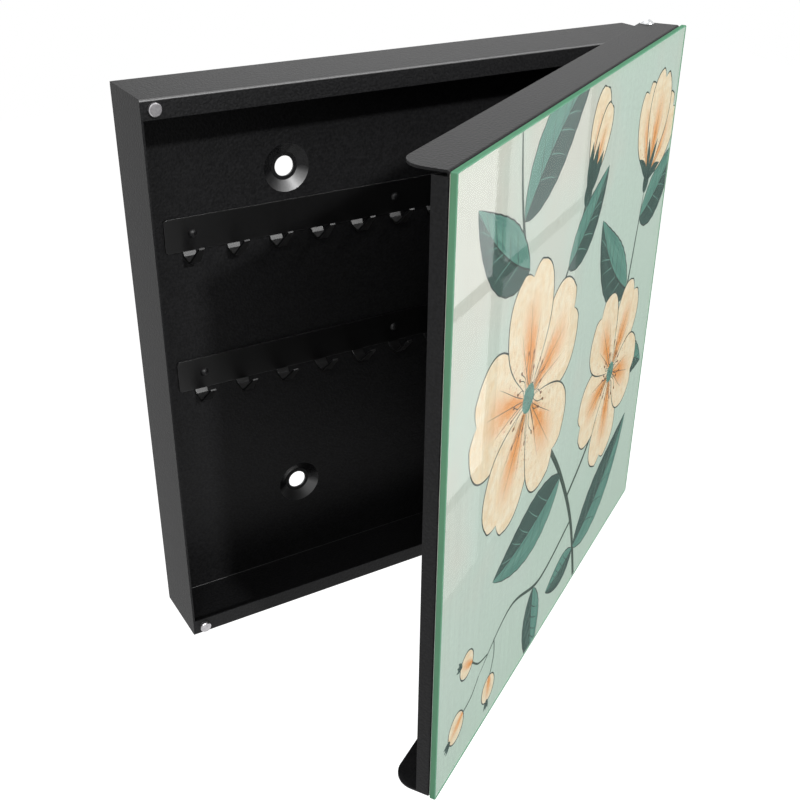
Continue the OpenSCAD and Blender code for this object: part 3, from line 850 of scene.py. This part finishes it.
def make_camera():
    """The photograph's camera, with the shift that its framing needs."""
    data = bpy.data.cameras.new("photo_camera")
    data.sensor_width = SENSOR_MM
    data.lens = FOCAL_PX / FRAME_PX * data.sensor_width
    data.shift_x = (FRAME_PX / 2 - AXIS_PX[0]) / FRAME_PX
    data.shift_y = (AXIS_PX[1] - FRAME_PX / 2) / FRAME_PX
    camera = bpy.data.objects.new("photo_camera", data)
    scene.collection.objects.link(camera)
    facing = (AIM - EYE).to_track_quat("-Z", "Y").to_matrix().to_4x4()
    camera.matrix_world = Matrix.Translation(EYE) @ facing @ Matrix.Rotation(ROLL, 4, "Z")
    scene.camera = camera


def shows_white(tree):
    """1 on rays that look at the background straight, in a reflection or through glass."""
    path = add(tree, "LightPath").outputs
    seen = add(tree, "Math", {0: path["Is Camera Ray"], 1: path["Is Glossy Ray"]},
               operation="MAXIMUM")
    shown = add(tree, "Math", {0: seen.outputs[0], 1: path["Is Transmission Ray"]},
                operation="MAXIMUM")
    return shown.outputs[0]


def make_background():
    """White surroundings that light the object only a little."""
    world = bpy.data.worlds.new("white_studio")
    scene.world = world
    world.use_nodes = True
    tree = world.node_tree
    strength = add(tree, "MapRange", {
        "Value": shows_white(tree), "To Min": AMBIENT, "To Max": 1.0})
    sky = tree.nodes["Background"]
    sky.inputs["Color"].default_value = grey(1.0)
    feed(tree, sky, Strength=strength.outputs["Result"])


def make_floor():
    """A pale floor far below the wall-hung box."""
    corners = ((-1, -1), (1, -1), (1, 1), (-1, 1))
    mesh = bpy.data.meshes.new("floor")
    mesh.from_pydata([(x * FLOOR_HALF, y * FLOOR_HALF, FLOOR_Z) for x, y in corners], [], [(0, 1, 2, 3)])
    floor = bpy.data.objects.new("floor", mesh)
    scene.collection.objects.link(floor)
    # Painted studio floor: matt white, lifted to white where it is looked at and not in shadow
    finish, tree, shader = new_finish("white_studio_floor", Roughness=0.9, Specular_IOR_Level=0.0)
    shader.inputs["Base Color"].default_value = grey(FLOOR_GREY)
    shader.inputs["Emission Color"].default_value = grey(1.0)
    lift = add(tree, "Math", {0: shows_white(tree), 1: FLOOR_LIFT}, operation="MULTIPLY")
    feed(tree, shader, Emission_Strength=lift.outputs[0])
    mesh.materials.append(finish)


def softbox(name, target, way, distance, size, level):
    """A square lamp at a distance from a target. At level 1 it shows a facing colour as written."""
    data = bpy.data.lights.new(name, "AREA")
    data.size = size
    data.energy = level * (math.pi * distance) ** 2
    lamp = bpy.data.objects.new(name, data)
    scene.collection.objects.link(lamp)
    towards = Vector(way).normalized()
    lamp.location = Vector(target) + towards * distance
    lamp.rotation_mode = "QUATERNION"
    lamp.rotation_quaternion = (-towards).to_track_quat("-Z", "Y")
    lamp.visible_camera = False


def make_lamps():
    """Soft lamps round the box: what each is aimed at, the way to it, distance, width and level."""
    door_low, door_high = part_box("door_panel")
    door_middle = (door_low + door_high) / 2
    middle = (cad_box[0] + cad_box[1]) / 2
    free_corner = Vector((door_low.x, door_low.y, door_high.z))
    softbox("key_light", free_corner, (0.069, -1.0, 0.62), 3.0, 0.15, 0.8)
    softbox("sky_light", middle, (0.48, -0.47, 0.74), 1.6, 0.6, 0.28)
    softbox("top_light", middle, (0.0, 0.2, 1.0), 1.5, 1.2, 0.15)
    softbox("rear_light", middle, (0.44, 0.75, 0.5), 1.6, 0.9, 0.1)
    softbox("fill_light", middle, (-0.47, -0.67, 0.58), 1.6, 0.35, 0.24)
    softbox("door_light", door_middle, (0.8, -0.55, 0.02), 1.6, 1.0, 0.02)


def window_panes():
    """A barred window beside the door, which the glass mirrors as faint panes."""
    low = shut_box("glass_panel")[0]
    for left, right, strong in WINDOW_COLUMNS:
        for bottom, top, bright in WINDOW_ROWS:
            data = bpy.data.lights.new("window_pane", "AREA")
            data.shape = "RECTANGLE"
            data.size = (right - left) * MM
            data.size_y = (top - bottom) * MM
            data.energy = strong * bright * math.pi * data.size * data.size_y
            pane = bpy.data.objects.new("window_pane", data)
            scene.collection.objects.link(pane)
            spot = Vector((low.x + (left + right) / 2 * MM, low.y - WINDOW_AWAY * MM,
                           (bottom + top) / 2 * MM))
            turned = Matrix.Rotation(math.pi / 2, 4, "X")
            pane.matrix_world = swing @ Matrix.Translation(spot) @ turned
            pane.visible_camera = False


make_camera()
make_background()
make_floor()
make_lamps()
window_panes()
scene.view_settings.view_transform = "Standard"
